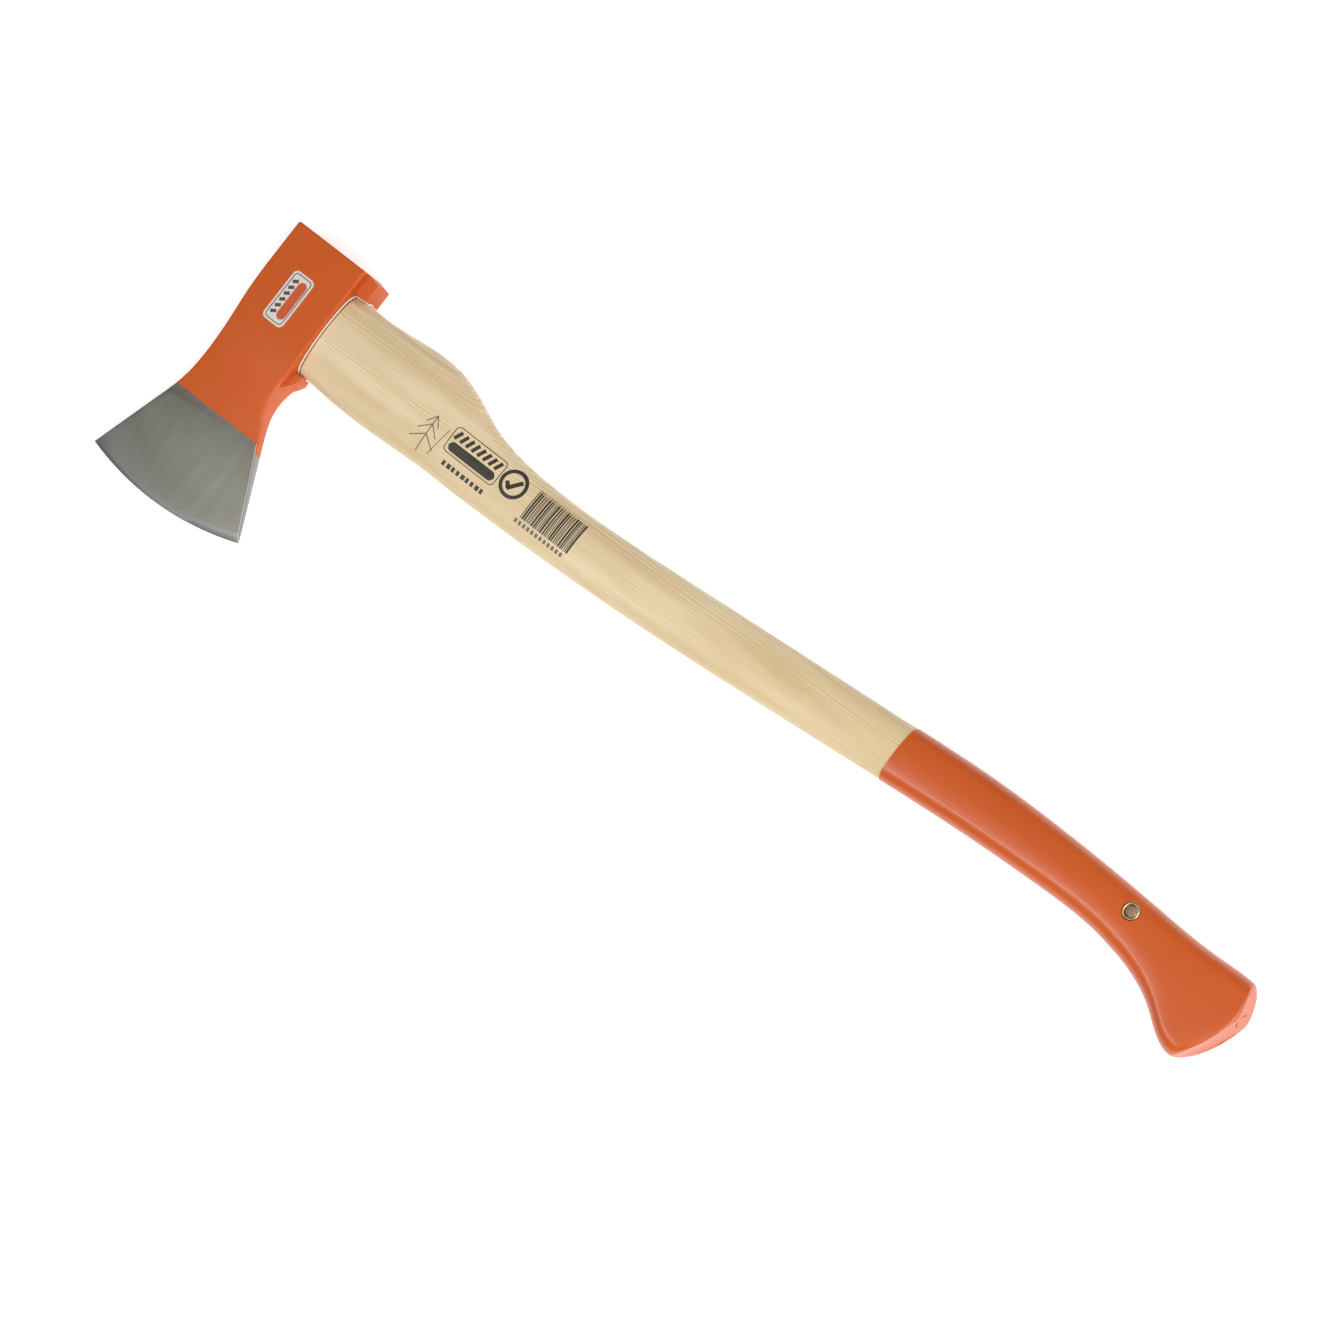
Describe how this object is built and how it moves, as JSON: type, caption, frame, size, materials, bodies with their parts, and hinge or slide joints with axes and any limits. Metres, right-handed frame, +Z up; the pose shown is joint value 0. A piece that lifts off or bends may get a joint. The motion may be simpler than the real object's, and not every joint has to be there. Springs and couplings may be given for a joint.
{
  "type": "felling axe",
  "caption": "Long felling axe on its side: forged head with curved edge, square poll and lugs, curved wooden handle with coated grip, flared knob and hanging eyelet.",
  "frame": {"origin": "under the middle of the axe's overall box, on the plane its lower cheek rests on", "axes": "+X along the axe from the head to the knob, +Y from the cutting edge towards the poll, +Z up from the lower cheek to the upper cheek, the axe lying on its side"},
  "size_m": [0.8336, 0.1948, 0.0382],
  "materials": {
    "forged_head": "orange enamel on the forging, bare ground steel below it",
    "ash_wood": "clear lacquered ash",
    "dipped_coat": "thick orange dipped coat, satin",
    "wedge_wood": "bare beech",
    "ring_steel": "bright turned steel",
    "eyelet_brass": "pressed brass",
    "foil_label": "printed silver foil"
  },
  "bodies": {
    "root": {"axe_head": "forged_head", "handle": "ash_wood", "grip_coat": "dipped_coat", "wooden_wedge": "wedge_wood", "steel_ring_wedge": "ring_steel", "hang_hole_eyelet": "eyelet_brass", "eyelet_washer": "eyelet_brass", "head_label": "foil_label"}
  },
  "joints": []
}
